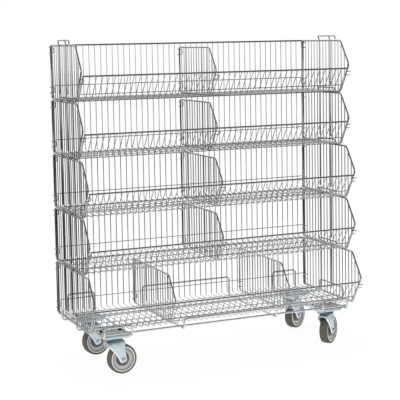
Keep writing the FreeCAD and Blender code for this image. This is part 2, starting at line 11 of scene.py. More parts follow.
import bmesh
import bpy
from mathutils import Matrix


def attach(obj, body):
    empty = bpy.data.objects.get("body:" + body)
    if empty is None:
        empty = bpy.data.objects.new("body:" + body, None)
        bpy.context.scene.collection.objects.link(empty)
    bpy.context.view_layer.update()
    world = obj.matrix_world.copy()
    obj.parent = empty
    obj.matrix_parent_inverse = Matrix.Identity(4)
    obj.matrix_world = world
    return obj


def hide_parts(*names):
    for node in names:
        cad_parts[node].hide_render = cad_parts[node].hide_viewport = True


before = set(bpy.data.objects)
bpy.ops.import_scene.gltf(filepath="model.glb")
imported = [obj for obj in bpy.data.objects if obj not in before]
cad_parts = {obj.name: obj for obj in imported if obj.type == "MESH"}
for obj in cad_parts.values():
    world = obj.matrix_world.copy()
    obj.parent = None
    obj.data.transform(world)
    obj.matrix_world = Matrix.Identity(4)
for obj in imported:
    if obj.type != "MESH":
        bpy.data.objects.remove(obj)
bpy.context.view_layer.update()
mm = 0.001

# %% [markdown]
# ## Heights, depths and gauges
# The baskets share one width and one height, and only their depth changes:
# two shallow ones on top, two middle ones, and one deep one at the bottom.
# Each stands on the top rails of the next, so their floors are evenly spaced.
# Four gauges of wire make all of it, and most places below are sums of them,
# because every wire lies against another one.

# %% Heights, depths and gauges
LIGHT, HEAVY, RAIL, ROD = 3.0, 5.0, 6.0, 7.0    # gauges
SEAT_GAP = 0.3                      # between pieces that are hooked on, not welded
BACK = 201.75                       # middle of the back wires
SIDE = 500.0                        # middle of the side panels
HEIGHT = 186.7                      # middle of the top rail above the underside
NOSE = 58.0                         # how far the front rim leans out
LIP = 86.7                          # middle of the front rim above the underside
FLOOR = RAIL - 0.5 * LIGHT          # middle of the floor wires above the underside
LOWEST, PITCH = 151.3, 190.0        # underside of tier 5, and the step from tier to tier
LEVELS = {tier: LOWEST + PITCH * (5 - tier) for tier in range(1, 6)}
DEPTHS = {1: 277.0, 2: 277.0, 3: 315.0, 4: 315.0, 5: 353.0}
UPRIGHTS = {277.0: 15, 315.0: 17, 353.0: 19}
print("basket undersides:", LEVELS)

# %% [markdown]
# ## Finishes
# The wires are mild steel, drawn, welded and bright zinc plated.  The dolly's
# rods are chrome plated, which is just as smooth and whiter.  Metals take
# their look mostly from what they mirror.  Rods, plates and pressings also
# keep a share of plain colour, which stands for the haze of their plating.
# Hex colours are listed, and one function turns them to linear light.

# %% Colour and node helpers
def hex_colour(code):
    """Linear colour of an sRGB hex code."""
    parts = [int(code[i:i + 2], 16) / 255 for i in (0, 2, 4)]
    return [p / 12.92 if p <= 0.04045 else ((p + 0.055) / 1.055) ** 2.4
            for p in parts] + [1.0]


def add_node(owner, kind, settings=None, links=None):
    """Adds a node.  Both dicts are keyed by the name or number of an input."""
    node = owner.node_tree.nodes.new(kind)
    for key, value in (settings or {}).items():
        if isinstance(key, str) and key not in node.inputs:
            setattr(node, key, value)
        else:
            node.inputs[key].default_value = value
    for key, source in (links or {}).items():
        owner.node_tree.links.new(source, node.inputs[key])
    return node


def shader_of(material):
    return material.node_tree.nodes["Principled BSDF"]


def new_finish(name, colour, metallic, roughness):
    """A named material with the colour, metallic and roughness of its real finish."""
    material = bpy.data.materials.new(name)
    material.use_nodes = True
    shader = shader_of(material)
    shader.inputs["Base Color"].default_value = hex_colour(colour)
    shader.inputs["Metallic"].default_value = metallic
    shader.inputs["Roughness"].default_value = roughness
    return material


def add_grain(material, grain, depth):
    """Fine bumps of a real size in millimetres, on the piece's own coordinates."""
    place = add_node(material, "ShaderNodeTexCoord")
    noise = add_node(material, "ShaderNodeTexNoise",
                     {"Scale": 1000.0 / grain, "Detail": 2.0},
                     {"Vector": place.outputs["Object"]})
    bump = add_node(material, "ShaderNodeBump",
                    {"Strength": 0.4, "Distance": depth * mm},
                    {"Height": noise.outputs["Fac"]})
    material.node_tree.links.new(bump.outputs["Normal"],
                                 shader_of(material).inputs["Normal"])


# %% The finishes
# Bright zinc on drawn wire: a clean grey mirror, slightly soft.
zinc_wire = new_finish("bright_zinc_plated_wire", "C2C3C5", 1.0, 0.12)
# Chrome on bent rod: as smooth as the wire, and whiter.
chrome_rod = new_finish("chrome_plated_rod", "DEE0E2", 0.85, 0.12)
# Zinc on sheet: flat plates, duller than wire because they were not drawn.
zinc_sheet = new_finish("zinc_plated_sheet", "C2C1BF", 0.7, 0.42)
add_grain(zinc_sheet, 6.0, 0.05)
# Blue-passivated zinc on pressed steel: the cool tint of the castor forks.
blue_zinc = new_finish("blue_passivated_zinc_pressing", "D6E3EA", 0.6, 0.42)
add_grain(blue_zinc, 8.0, 0.05)
# The turned lip of the same zinc is painted nearly white: a painted highlight along the
# fork's leading edge.
lip_painted_highlight = new_finish("zinc_lip_painted_highlight", "F6FAFC", 0.25, 0.25)
# The swivel bearing's hardened race, darker and greener than the pressings.
bearing_steel = new_finish("hardened_bearing_steel", "5F7276", 1.0, 0.32)
# Black-oxide steel bolts: nearly black, with a dull sheen.
black_bolt = new_finish("black_oxide_bolt", "2B2B2E", 1.0, 0.45)
# Grey rubber, moulded: soft highlights and a fine grain.
grey_rubber = new_finish("moulded_grey_rubber", "5B5A51", 0.0, 0.62)
add_grain(grey_rubber, 1.5, 0.08)
# Polypropylene hub, one grey moulding painted in rings: a painted highlight on the rim,
# painted shade on the step, a light grey web and painted shade on the boss.
hub_rim_painted_highlight = new_finish("polypropylene_rim_painted_highlight", "E2E0D9", 0.0, 0.38)
hub_step_painted_shade = new_finish("polypropylene_step_painted_shade", "8B9190", 0.0, 0.42)
light_hub = new_finish("light_grey_polypropylene_web", "C2C4C1", 0.0, 0.42)
hub_boss_painted_shade = new_finish("polypropylene_boss_painted_shade", "5C5B54", 0.0, 0.42)
print("metals:", [m.name for m in (zinc_wire, chrome_rod, zinc_sheet, blue_zinc)])

# %% [markdown]
# ## Drawing a line
# In the workshop a wire runs through a bender that stops and turns at each
# corner.  Here a line does the same: one vertex is extruded from corner to
# corner in edit mode.  An operator acts on all that is selected, so each
# helper first selects its own pieces and nothing else.

# %% Draw a line
def select_only(*pieces):
    """Selects these pieces and nothing else, and makes the first one active."""
    bpy.ops.object.select_all(action="DESELECT")
    for piece in pieces:
        piece.select_set(True)
    if pieces:
        bpy.context.view_layer.objects.active = pieces[0]


def open_empty_mesh(name):
    """A new piece in edit mode with nothing in it yet."""
    select_only()
    bpy.ops.mesh.primitive_plane_add(size=mm, location=(0, 0, 0))
    piece = bpy.context.object
    piece.name = name
    bpy.ops.object.mode_set(mode="EDIT")
    bpy.ops.mesh.delete(type="VERT")
    return piece


def draw_line(points, closed):
    """Draws one run in the mesh that is being edited, from its first point on."""
    bpy.ops.mesh.select_all(action="DESELECT")
    bpy.ops.mesh.primitive_plane_add(size=mm, location=[v * mm for v in points[0]])
    bpy.ops.mesh.merge(type="CENTER")
    stops = points + [points[0]] if closed else points
    for here, there in zip(stops, stops[1:]):
        step = [(b - a) * mm for a, b in zip(here, there)]
        bpy.ops.mesh.extrude_region_move(TRANSFORM_OT_translate={"value": step})


def merge_doubles(gap):
    """Merges vertices that lie closer than the gap."""
    bpy.ops.mesh.select_all(action="SELECT")
    bpy.ops.mesh.remove_doubles(threshold=gap * mm)


# %% [markdown]
# ## Bending wire
# A vertex bevel rounds the corners of the line, and the line becomes a curve
# whose bevel depth is half the wire's gauge.  It is turned back into a mesh,
# because a mesh is what the finished piece has to be.  A hand-built tube would
# need a ring of vertices at every bend, and those rings pinch where wires turn
# sharply.

# %% The wire bender
def round_corners(wire, bend, segments):
    """Rounds every corner, which is every vertex where two edges meet."""
    bpy.ops.mesh.select_all(action="DESELECT")
    net = bmesh.from_edit_mesh(wire.data)
    for corner in net.verts:
        if len(corner.link_edges) == 2:
            corner.select = True
    net.select_flush_mode()
    bmesh.update_edit_mesh(wire.data)
    bpy.ops.mesh.bevel(offset=bend * mm, segments=segments, affect="VERTICES")


def tidy_mesh(piece, angle=40.0):
    """Merges doubles, points the faces outwards and smooths the round ones."""
    select_only(piece)
    bpy.ops.object.mode_set(mode="EDIT")
    merge_doubles(0.005)
    bpy.ops.mesh.normals_make_consistent(inside=False)
    bpy.ops.object.mode_set(mode="OBJECT")
    bpy.ops.object.shade_smooth_by_angle(angle=math.radians(angle))
    return piece


def bend_wires(name, runs, gauge, bend=0.0, sides=8, closed=False, segments=3):
    """Bends wires of one gauge along their runs, all in one piece."""
    wire = open_empty_mesh(name)
    for points in runs:
        draw_line(points, closed)
    merge_doubles(0.01)
    if bend:
        round_corners(wire, bend, segments)
    bpy.ops.object.mode_set(mode="OBJECT")
    bpy.ops.object.convert(target="CURVE")
    wire = bpy.context.object
    wire.data.bevel_depth = 0.5 * gauge * mm
    wire.data.bevel_resolution = (sides - 4) // 2
    wire.data.use_fill_caps = True
    bpy.ops.object.convert(target="MESH")
    return tidy_mesh(bpy.context.object)


# %% [markdown]
# ## Welding, painting and placing
# What repeats on the real object is made once here too.  A model is finished
# at the origin, and each copy gets its own mesh with its place in it, rides on
# a moving body and takes over from its CAD node.

# %% Weld, paint and place
def weld(name, *pieces):
    """Joins pieces into one, as a welder does."""
    select_only(*pieces)
    bpy.ops.object.join()
    pieces[0].name = name
    return pieces[0]


def paint(piece, *finishes):
    """Gives a piece its finishes, in the order of its material slots."""
    piece.data.materials.clear()
    for finish in finishes:
        piece.data.materials.append(finish)


def apply_modifier(piece, kind, **settings):
    """Adds a modifier, sets it up and applies it to the mesh."""
    select_only(piece)
    modifier = piece.modifiers.new(kind.lower(), kind)
    for name, value in settings.items():
        setattr(modifier, name, value)
    bpy.ops.object.modifier_apply(modifier=modifier.name)


def settle(piece, shift, turn=(0, 0, 0)):
    """Moves and turns a piece, in millimetres and degrees, within its mesh."""
    select_only(piece)
    piece.rotation_euler = [math.radians(angle) for angle in turn]
    piece.location = [v * mm for v in shift]
    bpy.ops.object.transform_apply(location=True, rotation=True, scale=True)
    return piece


def copy_to(piece, name, body, node, slot, shift=(0, 0, 0), turn=0.0):
    """Copies a model to its place, with its own mesh, and ties it to the frame."""
    select_only(piece)
    bpy.ops.object.duplicate(linked=False)
    copy = bpy.context.object
    copy.name = name
    settle(copy, shift, (0, 0, turn))
    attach(copy, body)
    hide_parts(node)


def put_away(*models):
    """Deletes the models once their copies stand in place."""
    select_only(*models)
    bpy.ops.object.delete()


# %% [markdown]
# ## The basket's mesh
# Back, floor and lip are one row of light wires, each bent twice and welded at
# both ends to a heavier rim.  Forty-four of them are alike, so one is bent and
# an Array modifier repeats it.  Drawing all of them would give the same mesh
# with forty-four times the work.  The two outer wires are heavier.

# %% One bent wire, repeated across the basket
MESH_WIRES = 44
HALF_ROW = SIDE - 0.5 * RAIL - HEAVY            # inner faces of the end wires
MESH_STEP = 2 * HALF_ROW / (MESH_WIRES + 1)


def make_mesh(depth):
    """Back, floor and lip with their two end wires and two rims."""
    front, first = BACK - depth, -HALF_ROW + MESH_STEP
    end, end_floor, tip = HALF_ROW + 0.5 * HEAVY, RAIL - 0.5 * HEAVY, HALF_ROW + HEAVY
    light = bend_wires("light_wires", [[
        (first, BACK, HEIGHT - 0.5 * RAIL), (first, BACK, FLOOR),
        (first, front, FLOOR), (first, front - NOSE, LIP)]], LIGHT, bend=5.0, sides=6)
    apply_modifier(light, "ARRAY", use_relative_offset=False, use_constant_offset=True,
                   constant_offset_displace=(MESH_STEP * mm, 0, 0), count=MESH_WIRES)
    ends = bend_wires("end_wires", [
        [(x, BACK, HEIGHT), (x, BACK, end_floor), (x, front, end_floor),
         (x, front - NOSE, LIP)] for x in (-end, end)], HEAVY, bend=6.0)
    rims = bend_wires("rims", [
        [(-tip, y, z), (tip, y, z)]
        for y, z in ((BACK, HEIGHT), (front - NOSE, LIP))], RAIL, sides=12)
    return weld("mesh_model_%d" % depth, light, ends, rims)


print("pitch of the mesh:", round(MESH_STEP, 2), "mm")

# %% [markdown]
# ## Wires across the mesh
# Straight wires are laid over the bent ones and spot welded where they cross:
# one on the back, four under the floor and one outside the lip.  They keep the
# bent wires evenly spaced under load.  The lip slopes, so a small function
# turns a distance along the slope into a place.

# %% Straight cross wires
LIP_RISE = LIP - FLOOR
LIP_LENGTH = math.hypot(NOSE, LIP_RISE)
BACK_WIRE_AT = 47.2                 # height of the wire on the back
LIP_WIRE_AT = 29.6                  # how far up the lip its wire lies
FLOOR_SHARES = (0.125, 0.375, 0.625, 0.875)     # of the depth, from the back


def lip_place(depth, along, out):
    """(y, z) of a spot on the outside of the lip, measured up its slope."""
    lean, rise = NOSE / LIP_LENGTH, LIP_RISE / LIP_LENGTH
    return (BACK - depth - lean * along - rise * out,
            FLOOR + rise * along - lean * out)


def make_cross_wires(depth):
    """Six straight wires of the light gauge."""
    spots = [(BACK - LIGHT, BACK_WIRE_AT)]
    spots += [(BACK - depth * share, 0.5 * LIGHT) for share in FLOOR_SHARES]
    spots.append(lip_place(depth, LIP_WIRE_AT, LIGHT))
    return bend_wires("cross_model_%d" % depth, [
        [(-HALF_ROW, y, z), (HALF_ROW, y, z)] for y, z in spots], LIGHT)


print("slope of the lip:", round(math.degrees(math.atan2(LIP_RISE, NOSE)), 1), "degrees")

# %% [markdown]
# ## Flat panels
# A side panel is a ring of heavy wire with light uprights welded inside it.
# The front of the ring has a nose: the top rail drops to it and the bottom rail
# rises to it.  Each upright is cut to end in the middle of the ring, and a
# short sum gives its ends where the ring slopes.  A divider is the same panel,
# a little smaller, which is why one function makes both.

# %% Ring and uprights
UPRIGHT_STEP = 21.75


def height_on(line, y):
    """Height of a straight run at y."""
    (y1, z1), (y2, z2) = line
    return z1 + (z2 - z1) * (y - y1) / (y2 - y1)


def make_panel(name, x, ring, gauge, count):
    """A ring of (y, z) corners, back ones first, with upright wires."""
    back_low, back_top, front_top, nose, front_low = ring
    outer = bend_wires("ring", [[(x, y, z) for y, z in ring]], gauge,
                       bend=9.0, sides=10, closed=True, segments=4)
    uprights = []
    for k in range(1, count + 1):
        y = back_low[0] - UPRIGHT_STEP * k
        top = back_top[1] if y > front_top[0] else height_on((front_top, nose), y)
        low = back_low[1] if y > front_low[0] else height_on((front_low, nose), y)
        uprights.append([(x, y, low), (x, y, top)])
    return weld(name, outer, bend_wires("uprights", uprights, LIGHT))


# %% Outlines of the two kinds of panel
NOSE_DROP = 85.0                    # the side panel's nose below its top rail
DIVIDER_DROP = 15.0                 # the divider's top below the basket's
DIVIDER_INSET = 8.0                 # its nose and top corner behind the side panel's
DIVIDER_HEEL = 2.44                 # its lowest corner behind the bend of the mesh
DIVIDER_BACK = BACK - 1.5 * LIGHT - 0.5 * HEAVY


def side_ring(depth):
    front, low = BACK - depth, 0.5 * RAIL
    return [(BACK, low), (BACK, HEIGHT), (front, HEIGHT),
            (front - NOSE, HEIGHT - NOSE_DROP), (front, low)]


def divider_ring(depth):
    front, low, top = BACK - depth, RAIL + 0.5 * HEAVY, HEIGHT - DIVIDER_DROP
    return [(DIVIDER_BACK, low), (DIVIDER_BACK, top), (front + DIVIDER_INSET, top),
            (front - NOSE + DIVIDER_INSET, LIP + DIVIDER_INSET),
            (front + DIVIDER_HEEL, low)]


print("corners of a shallow side panel:", side_ring(DEPTHS[1]))

# %% [markdown]
# ## Hairpin clips
# The panels are held to the mesh by clips of spring wire, bent like hairpins:
# two level prongs and a round bend.  They are pushed over the wires at the
# back and outside the lip, where they keep the panels upright.

# %% Hairpin clips
CLIP_IN, CLIP_OUT = 10.0, 8.0       # bend and prong ends to either side of a panel
CLIP_PITCH = 19.0                   # upper prong above the lower one
CLIP_TOP, CLIP_LOW = HEIGHT - 7.0, HEIGHT - 145.0
LIP_PRONGS = (90.8, 74.8)           # how far up the lip its prongs lie


def level_hairpin(bend_x, ends_x, y, top):
    low = top - CLIP_PITCH
    return [(ends_x, y, top), (bend_x, y, top), (bend_x, y, low), (ends_x, y, low)]


def lip_hairpin(bend_x, ends_x, depth, out):
    """A hairpin that lies on the outside of the lip."""
    high, low = (lip_place(depth, along, out) for along in LIP_PRONGS)
    return [(ends_x, *high), (bend_x, *high), (bend_x, *low), (ends_x, *low)]


def make_clips(depth, dividers):
    """All hairpins of one basket."""
    runs = []
    for side in (-1, 1):
        span = side * (SIDE - CLIP_IN), side * (SIDE + CLIP_OUT)
        for top in (CLIP_TOP, CLIP_LOW):
            runs.append(level_hairpin(*span, BACK - 0.5 * RAIL - 0.5 * LIGHT, top))
        runs.append(lip_hairpin(*span, depth, 0.5 * HEAVY + 0.5 * LIGHT + SEAT_GAP))
    for middle in dividers:
        span = middle + CLIP_IN, middle - CLIP_OUT
        for top in (CLIP_TOP - DIVIDER_DROP, CLIP_LOW):
            runs.append(level_hairpin(*span, DIVIDER_BACK - 0.5 * HEAVY - 0.5 * LIGHT, top))
        runs.append(lip_hairpin(*span, depth, LIGHT))
    return bend_wires("clips_model_%d" % depth, runs, LIGHT, bend=6.0, segments=4)


# %% [markdown]
# ## Stacking hooks
# Two wires on each side rise above the top rail, lean over towards the back
# and end in a level bar that runs forward.  They catch the bottom rail of the
# basket above and stop it sliding.  The front one is curled at its tip so that
# it doesn't scratch.

# %% Stacking hooks
HOOK_AT = SIDE + 0.5 * RAIL + 0.5 * HEAVY + SEAT_GAP    # outside the side panels
HOOK_FOOT, HOOK_PEAK = 24.0, 203.7  # heights of the lower end and of the bar
HOOK_LEAN = 12.0
CURL = [(-8.1, -4.95), (-5.85, -10.8)]          # (y, z) steps from the bar's tip


def hook_run(x, leg, bar):
    """Up the leg, over the top rail and forward along the level bar."""
    y = BACK - leg
    return [(x, y, HOOK_FOOT), (x, y, HEIGHT), (x, y + HOOK_LEAN, HOOK_PEAK),
            (x, y + HOOK_LEAN - bar, HOOK_PEAK)]


def make_hooks():
    """Back and front hooks for both sides."""
    runs = []
    for x in (-HOOK_AT, HOOK_AT):
        runs.append(hook_run(x, leg=117, bar=73))
        front = hook_run(x, leg=195, bar=40)
        tip = front[-1][1]
        runs.append(front + [(x, tip + y, HOOK_PEAK + z) for y, z in CURL])
    return bend_wires("hooks_model", runs, HEAVY, bend=3.2, sides=10)


hooks = make_hooks()
paint(hooks, zinc_wire)
print("vertices of the hooks:", len(hooks.data.vertices))

# %% [markdown]
# ## Five baskets
# Each depth is modelled once and copied to the tiers that have it.  A copy gets
# its own mesh, moved to its height, and rides on that tier's body, so lifting a
# basket in the simulator lifts all that belongs to it.

# %% Build the baskets
ONE_DIVIDER = {"divider": -17.0}
TWO_DIVIDERS = {"left_divider": -214.5, "right_divider": 214.5}


def make_basket(depth, dividers):
    """Models of every piece of a basket of one depth, except its hooks."""
    count = UPRIGHTS[depth]
    models = {"wire_mesh": make_mesh(depth), "cross_wires": make_cross_wires(depth)}
    for side, x in (("left", -SIDE), ("right", SIDE)):
        models[side + "_side_panel"] = make_panel(side + "_panel_model", x,
                                                  side_ring(depth), RAIL, count)
    models["corner_clips"] = make_clips(depth, dividers.values())
    for part, x in dividers.items():
        models[part] = make_panel(part + "_model", x, divider_ring(depth), HEAVY,
                                  count - 1)
    for model in models.values():
        paint(model, zinc_wire)
    return models


def place_basket(tier, models):
    body = "basket_%d" % tier
    rise = (0, 0, LEVELS[tier])
    for part, model in models.items():
        copy_to(model, "tier_%d_%s_bent" % (tier, part), body,
                "tier_%d_%s" % (tier, part), "zinc_wire", rise)


for depth in UPRIGHTS:
    tiers = [tier for tier in DEPTHS if DEPTHS[tier] == depth]
    models = make_basket(depth, TWO_DIVIDERS if 5 in tiers else ONE_DIVIDER)
    for tier in tiers:
        place_basket(tier, {**models, "stacking_hooks": hooks})
    put_away(*models.values())
    print("depth", depth, "tiers", tiers)
put_away(hooks)

# %% [markdown]
# ## The dolly's rods
# Three rods are bent into long closed loops that run from back to front, and
# both ends of each loop turn up as a hoop.  A fourth loop lies across them and
# turns up at the sides.  The hoops keep the lowest basket from sliding off.  A
# loop is one closed run, and its butt weld doesn't show.

# %% Bend the dolly
LONG_LOW = 140.5                    # middle of the long rods above the floor
CROSS_LOW = LONG_LOW + ROD          # the cross rods lie on them
BACK_HOOP, FRONT_HOOP, SIDE_HOOP = 71.5, 34.0, 41.5     # how high the hoops rise
FRONT_ROD_AT, FRONT_ROD_HALF = -162.25, 463.5


def long_loop(left, right):
    back, front, low = 208.75, -178.25, LONG_LOW
    return [(left, 15, low), (left, front, low), (left, front, low + FRONT_HOOP),
            (right, front, low + FRONT_HOOP), (right, front, low), (right, back, low),
            (right, back, low + BACK_HOOP), (left, back, low + BACK_HOOP),
            (left, back, low)]


def cross_loop():
    back, front, side, low = 106.75, -58.25, 514.0, CROSS_LOW
    peak = low + SIDE_HOOP
    return [(0, back, low), (side, back, low), (side, back, peak), (side, front, peak),
            (side, front, low), (-side, front, low), (-side, front, peak),
            (-side, back, peak), (-side, back, low)]


loops = {"left_long_loop": long_loop(-460, -362),
         "middle_long_loop": long_loop(-175, 175),
         "right_long_loop": long_loop(362, 460),
         "cross_loop": cross_loop()}
for part, run in loops.items():
    loop = bend_wires("loop", [run], ROD, bend=10.0, sides=12, closed=True, segments=4)
    paint(loop, chrome_rod)
    copy_to(loop, "dolly_%s_bent" % part, "dolly", "dolly_" + part, "chrome_rod")
    put_away(loop)
rod = bend_wires("rod", [[(x, FRONT_ROD_AT, CROSS_LOW)
                          for x in (-FRONT_ROD_HALF, FRONT_ROD_HALF)]], ROD, sides=12)
paint(rod, chrome_rod)
copy_to(rod, "dolly_front_rod_round", "dolly", "dolly_front_rod", "chrome_rod")
put_away(rod)

# %% [markdown]
# ## Plates for the castors
# A plate welded between two rods carries each castor.  The castor's own plate
# is bolted up against it.  Both are blanked from sheet, so their corners are
# round and their edges slightly soft: a cube is scaled to size, its upright
# edges get a wide bevel and all the rest a narrow one.

# %% Blanked plates
SHEET = 2.5                         # thickness of plates and forks


def select_edges(piece, test):
    """Selects the edges whose two ends, in millimetres, pass a test."""
    bpy.ops.mesh.select_all(action="DESELECT")
    net = bmesh.from_edit_mesh(piece.data)
    for edge in net.edges:
        if test(edge, *(v.co / mm for v in edge.verts)):
            edge.select = True
    net.select_flush_mode()
    bmesh.update_edit_mesh(piece.data)


def soften_edges(piece, width):
    """A narrow bevel on every sharp edge."""
    apply_modifier(piece, "BEVEL", width=width * mm, segments=2, limit_method="ANGLE",
                   angle_limit=math.radians(50))


def blank_plate(name, size, low, corner):
    """A sheet plate about the Z axis with round corners."""
    width, depth = size
    select_only()
    bpy.ops.mesh.primitive_cube_add(size=1, location=(0, 0, (low + 0.5 * SHEET) * mm))
    plate = bpy.context.object
    plate.name = name
    plate.scale = (width * mm, depth * mm, SHEET * mm)
    bpy.ops.object.transform_apply(location=True, rotation=True, scale=True)
    bpy.ops.object.mode_set(mode="EDIT")
    select_edges(plate, lambda edge, a, b: abs(a.z - b.z) > 0.5 * SHEET)
    bpy.ops.mesh.bevel(offset=corner * mm, segments=5, affect="EDGES")
    bpy.ops.object.mode_set(mode="OBJECT")
    soften_edges(plate, 0.35)
    return tidy_mesh(plate, 30)


print("thickness of the sheet:", SHEET, "mm")

# %% [markdown]
# ## Turned pieces
# Everything round on a castor is a profile turned about an axis: the bearing
# race, the rivet of the king pin, the tyre, the hub and the axle.  The profile
# is drawn like a wire and then spun.  Spin makes a closed shell here, because
# each profile is a closed outline or starts and ends on the axis.

# %% The lathe
def turn_profile(name, outline, centre, axis, steps=48, closed=True):
    """Spins an outline of (radius, height) points about an axis through centre."""
    turned = open_empty_mesh(name)
    x, y, z = centre
    if axis == "Z":
        points = [(x + radius, y, z + height) for radius, height in outline]
    else:
        points = [(x + radius, y + height, z) for radius, height in outline]
    draw_line(points, closed)
    merge_doubles(0.005)
    bpy.ops.mesh.select_all(action="SELECT")
    bpy.ops.mesh.spin(steps=steps, angle=2 * math.pi, center=[v * mm for v in centre],
                      axis=(0, 0, 1) if axis == "Z" else (0, 1, 0))
    bpy.ops.object.mode_set(mode="OBJECT")
    return tidy_mesh(turned, 35)


# %% [markdown]
# ## Bolts
# Four short hexagon bolts hold each castor.  A six-sided cylinder is a start,
# and a small bevel all round takes off its edges, as forging and chamfering do
# on a real head.

# %% Hexagon heads and nuts
SWIVELS = {"front_left": (-406, -116.25), "front_right": (406, -116.25),
           "back_left": (-406, 144.75), "back_right": (406, 144.75)}
JOINT = 137.0                       # where the two plates of a castor meet
BOLT_ACROSS, BOLT_ALONG = 34, 33    # bolts from the swivel axis
BOLT_RADIUS = 5.5
CHAMFER = 0.5
HEAD = (JOINT + SHEET, JOINT + SHEET + 4.0)     # lower and upper face
NUT = (JOINT - SHEET - 4.4, JOINT - SHEET)
SHANK_END = [(0, 128.9), (2.6, 128.9), (3.0, 129.5), (3.0, 131.0), (0, 131.0)]


def hexagon(name, radius, low, high, place=(0, 0)):
    select_only()
    middle = (*place, 0.5 * (low + high))
    bpy.ops.mesh.primitive_cylinder_add(vertices=6, radius=radius * mm,
                                        depth=(high - low) * mm,
                                        location=[v * mm for v in middle])
    head = bpy.context.object
    head.name = name
    bpy.ops.object.transform_apply(location=True, rotation=True, scale=True)
    apply_modifier(head, "BEVEL", width=CHAMFER * mm, segments=2)
    return tidy_mesh(head, 30)


def bolt_group(x, y):
    """Four bolt heads above the plates, and nuts and shank ends below them."""
    group = []
    for across in (-BOLT_ACROSS, BOLT_ACROSS):
        for along in (-BOLT_ALONG, BOLT_ALONG):
            place = (x + across, y + along)
            group.append(hexagon("head", BOLT_RADIUS, *HEAD, place))
            group.append(hexagon("nut", BOLT_RADIUS, *NUT, place))
            group.append(turn_profile("shank", SHANK_END, (*place, 0), "Z", 16,
                                      closed=False))
    return group


groups = []
for x, y in SWIVELS.values():
    groups += bolt_group(x, y)
bolts = weld("bolts_model", *groups)
paint(bolts, black_bolt)
copy_to(bolts, "castor_plate_bolts_hex", "dolly", "castor_plate_bolts", "dark_bolt")
put_away(bolts)
print("heads, nuts and shanks:", len(groups))

# %% [markdown]
# ## Plates and races
# The mounting plates lie in the middle between the two rods of their loops.
# The castor's own plate carries the outer ring of the swivel bearing, with the
# riveted end of the king pin below it.  Plate and dish have the blue zinc of
# the pressings; the ring under them is bare hardened steel.

# %% Mounting plates in place
MOUNT_SIZE = 91, 85                 # width and depth
MOUNT_AT = 411                      # between the rods, to either side

mounts = []
for x, y in SWIVELS.values():
    mounts.append(settle(blank_plate("mount", MOUNT_SIZE, JOINT, 3.0),
                         (math.copysign(MOUNT_AT, x), y, 0)))
mounting = weld("mounting_model", *mounts)
paint(mounting, zinc_sheet)
copy_to(mounting, "castor_mounting_plates_blanked", "dolly", "castor_mounting_plates",
        "zinc_plate")
put_away(mounting)
print("mounting plates:", len(mounts))

# %% Top plates with their races
CASTOR_SIZE = 92, 80                # width and depth
RACE = [(0, 134.4), (31, 134.4), (28, 132.9), (26, 130.5), (25.5, 128.5), (28.6, 128.2),
        (29.7, 127.3), (30, 126), (30, 119.5), (29.6, 118.2), (28.2, 117.6),
        (28.2, 116.6), (27.4, 115.6), (9.5, 115.5), (6, 115.3), (6, 112.2), (9, 112.2),
        (9.5, 111.7), (9.3, 110.4), (7.5, 109.8), (0, 109.7)]
DISH_FOOT = 128.4                   # the dish ends here and the ring begins

tops = []
for x, y in SWIVELS.values():
    plate = blank_plate("top", CASTOR_SIZE, JOINT - SHEET, 8.0)
    paint(plate, blue_zinc)
    race = turn_profile("race", RACE, (0, 0, 0), "Z", closed=False)
    paint(race, bearing_steel, blue_zinc)
    for face in race.data.polygons:
        face.material_index = 1 if face.center.z > DISH_FOOT * mm else 0
    tops.append(settle(weld("top_plate", plate, race), (x, y, 0)))
top_plates = weld("top_plates_model", *tops)
copy_to(top_plates, "castor_top_plates_pressed", "dolly", "castor_top_plates",
        "castor_steel")
put_away(top_plates)
print("top plates:", len(tops))

# %% [markdown]
# ## The fork's legs
# A fork is one strip of sheet, pressed down at both sides.  So it starts as
# the crown's flat rectangle, cut into a few columns.  Its two long edges are
# extruded down in steps, and each step is narrowed and moved towards the
# trailing side, which gives the leg its sweep and its round foot.  The press
# bend itself is a few short steps round an arc: a bevel along such an uneven
# edge would throw out spikes.

# %% Press the legs
CROWN_TOP, LEG_OUT, PRESS_BEND = 115.1, 19.5, 10.5
CROWN_LEAD, CROWN_TRAIL = -27.0, 33.0           # leading and trailing edges
SAME = 0.01                         # closer than this counts as the same place
FORK_STEPS = [  # height, leading edge, trailing edge of the leg
    (96.0, -20.0, 31.8), (88.0, -12.2, 32.2), (79.0, -4.2, 33.2), (69.0, 3.6, 34.8),
    (59.0, 9.8, 36.4), (50.0, 14.4, 38.4), (45.0, 17.0, 38.2), (41.5, 20.4, 35.0),
    (39.6, 24.6, 30.4)]


def leg_rows():
    """(half width, height, lead, trail) round the press bend and down the leg."""
    rows = []
    for angle in (18, 36, 54, 72, 90):
        turn = math.radians(angle)
        rows.append((LEG_OUT - PRESS_BEND * (1 - math.sin(turn)),
                     CROWN_TOP - PRESS_BEND * (1 - math.cos(turn)),
                     CROWN_LEAD + angle / 60, CROWN_TRAIL))
    return rows + [(LEG_OUT, *step) for step in FORK_STEPS]


def press_legs(fork):
    """Draws both legs down from the crown's long edges."""
    for side in (-1, 1):
        out, height = LEG_OUT - PRESS_BEND, CROWN_TOP
        lead, trail = CROWN_LEAD, CROWN_TRAIL
        for new_out, low, new_lead, new_trail in leg_rows():
            select_edges(fork, lambda edge, a, b: all(
                abs(p.y - side * out) < SAME and abs(p.z - height) < SAME
                for p in (a, b)))
            bpy.ops.mesh.extrude_region_move(TRANSFORM_OT_translate={
                "value": (0, side * (new_out - out) * mm, (low - height) * mm)})
            middle, new_middle = 0.5 * (lead + trail), 0.5 * (new_lead + new_trail)
            grow = (new_trail - new_lead) / (trail - lead)
            bpy.ops.transform.resize(value=(grow, 1, 1),
                                     center_override=(middle * mm, 0, low * mm))
            bpy.ops.transform.translate(value=((new_middle - middle) * mm, 0, 0))
            out, height, lead, trail = new_out, low, new_lead, new_trail


